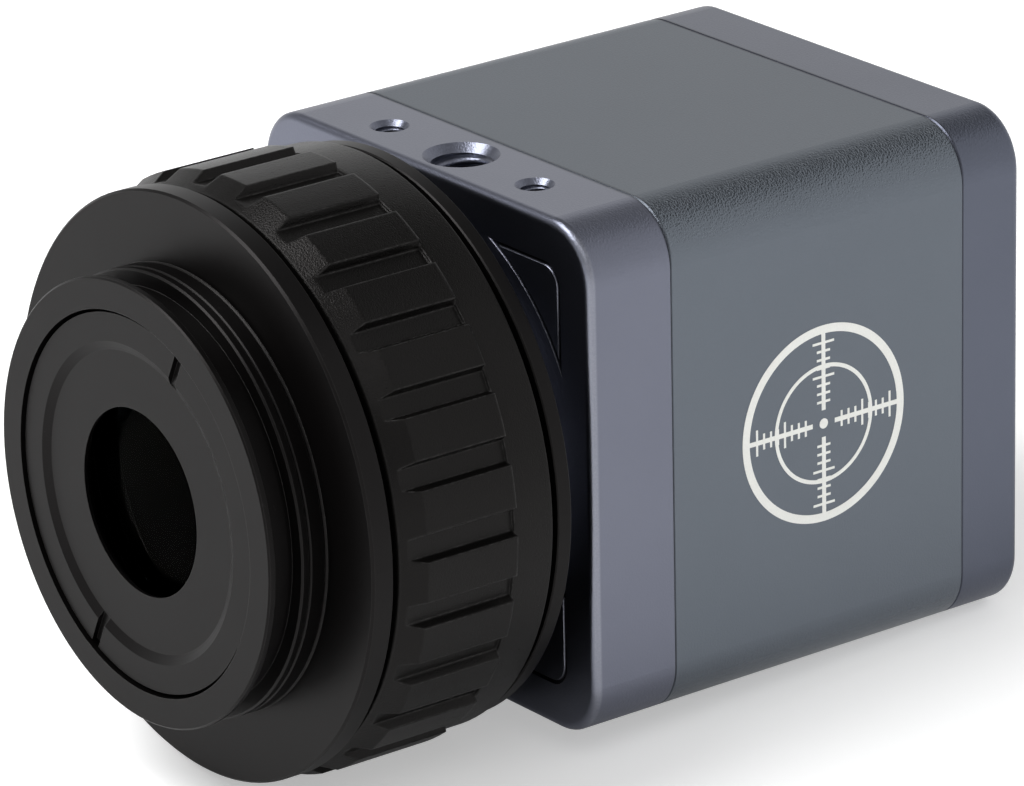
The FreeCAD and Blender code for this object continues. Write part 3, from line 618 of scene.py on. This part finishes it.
def studioFloor():
    look = floorLook
    ringLow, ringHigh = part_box("adjusting_ring")
    coverLow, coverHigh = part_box("rear_cover")
    front = Vector((0, ringHigh.y - look["ribSetback"], ringLow.z))
    rear = Vector((0, coverHigh.y - look["coverSetback"], coverLow.z))
    tilt = math.atan2(rear.z - front.z, rear.y - front.y)
    work = bmesh.new()
    bmesh.ops.create_grid(work, x_segments=2, y_segments=2, size=look["size"])
    mesh = bpy.data.meshes.new("floor")
    work.to_mesh(mesh)
    work.free()
    floor = bpy.data.objects.new("floor", mesh)
    bpy.context.scene.collection.objects.link(floor)
    floor.matrix_world = Matrix.Translation(front) @ Matrix.Rotation(tilt, 4, "X")
    paint = newFinish("paleFloor", baseColor=look["colour"], roughness=look["rough"],
                      specularIorLevel=look["specular"])
    seen, glossy, through = [paint.node("ShaderNodeLightPath", output=kind)
                             for kind in ("Is Camera Ray", "Is Glossy Ray", "Is Transmission Ray")]
    x, y = paint.split(paint.place())[:2]
    distance = (x * x + y * y) ** 0.5
    # painted shadow: the glow seen directly and in mirrors falls off towards the object
    direct = seen * paint.steps(distance, look["lift"])
    mirrored = (glossy + through) * paint.steps(distance, look["mirrorLift"])
    glow = paint.node("ShaderNodeEmission", {}, {"Strength": direct + mirrored})
    both = paint.node("ShaderNodeAddShader", {}, {0: Wire(paint, paint.shader.outputs[0]), 1: glow})
    paint.feed(paint.tree.nodes["Material Output"].inputs["Surface"], both)
    mesh.materials.append(paint.owner)


studioFloor()

# Soft boxes above the front
softBoxes = dict(
    frontTop=dict(place=(-0.20, -0.40, 0.66), aim=(0, 0.03, 0), size=(0.5, 0.4), power=5.8),
    rightFill=dict(place=(0.45, -0.30, 0.55), aim=(0, 0.03, 0), size=(0.4, 0.4), power=0.7),
)
# Brightness of the sky by height, in front and behind; the bands behind rise towards the right
sky = dict(front=((0.0, 1.0), (0.10, 0.90), (0.33, 0.40), (0.69, 0.22)),
           back=((0.0, 1.0), (0.25, 0.88), (0.67, 0.86), (0.80, 0.15)),
           lean=0.156, turn=(-0.10, 0.30), strength=1.0)


def studioLight():
    for name, look in softBoxes.items():
        data = bpy.data.lights.new(name, "AREA")
        data.shape = "RECTANGLE"
        data.size, data.size_y = look["size"]
        data.energy = look["power"]
        lamp = bpy.data.objects.new(name, data)
        bpy.context.scene.collection.objects.link(lamp)
        place = Vector(look["place"])
        turn = (Vector(look["aim"]) - place).to_track_quat("-Z", "Y")
        lamp.matrix_world = Matrix.Translation(place) @ turn.to_matrix().to_4x4()
    world = bpy.data.worlds.new("studio")
    bpy.context.scene.world = world
    paint = Paint(world, "Background", strength=sky["strength"])
    x, y, z = paint.split(paint.node("ShaderNodeTexCoord", output="Generated"))
    start, end = sky["turn"]
    behind = paint.node("ShaderNodeMapRange", {}, {"Value": y, "From Min": start, "From Max": end})
    front = paint.steps(z, sky["front"])
    back = paint.steps(z - x * sky["lean"], sky["back"])
    paint.set(color=paint.blend(behind, front, back))


studioLight()
print("stage and lights set")

# Viewpoint of the photograph
viewpoint = dict(azimuth=52.916, elevation=20.689, roll=-1.252, distance=0.6106, clip=(0.01, 20.0),
                 target=(-0.007674, 0.039001, -0.003501), focalPixels=7091.3, widePixels=1024, sensor=36.0)


def photoCamera():
    look = viewpoint
    azimuth, elevation, roll = (math.radians(look[key]) for key in ("azimuth", "elevation", "roll"))
    back = Vector((math.sin(azimuth) * math.cos(elevation), -math.cos(azimuth) * math.cos(elevation),
                   math.sin(elevation)))
    right = Vector((0, 0, 1)).cross(back).normalized()
    up = back.cross(right)
    rolledRight = right * math.cos(roll) + up * math.sin(roll)
    rolledUp = up * math.cos(roll) - right * math.sin(roll)
    data = bpy.data.cameras.new("photoCamera")
    data.sensor_width = look["sensor"]
    data.lens = look["focalPixels"] / look["widePixels"] * look["sensor"]
    data.clip_start, data.clip_end = look["clip"]
    camera = bpy.data.objects.new("photoCamera", data)
    bpy.context.scene.collection.objects.link(camera)
    turn = Matrix((rolledRight, rolledUp, back)).transposed().to_4x4()
    camera.matrix_world = Matrix.Translation(Vector(look["target"]) + back * look["distance"]) @ turn
    bpy.context.scene.camera = camera


photoCamera()
bpy.context.scene.view_settings.view_transform = "Standard"
bpy.context.view_layer.update()
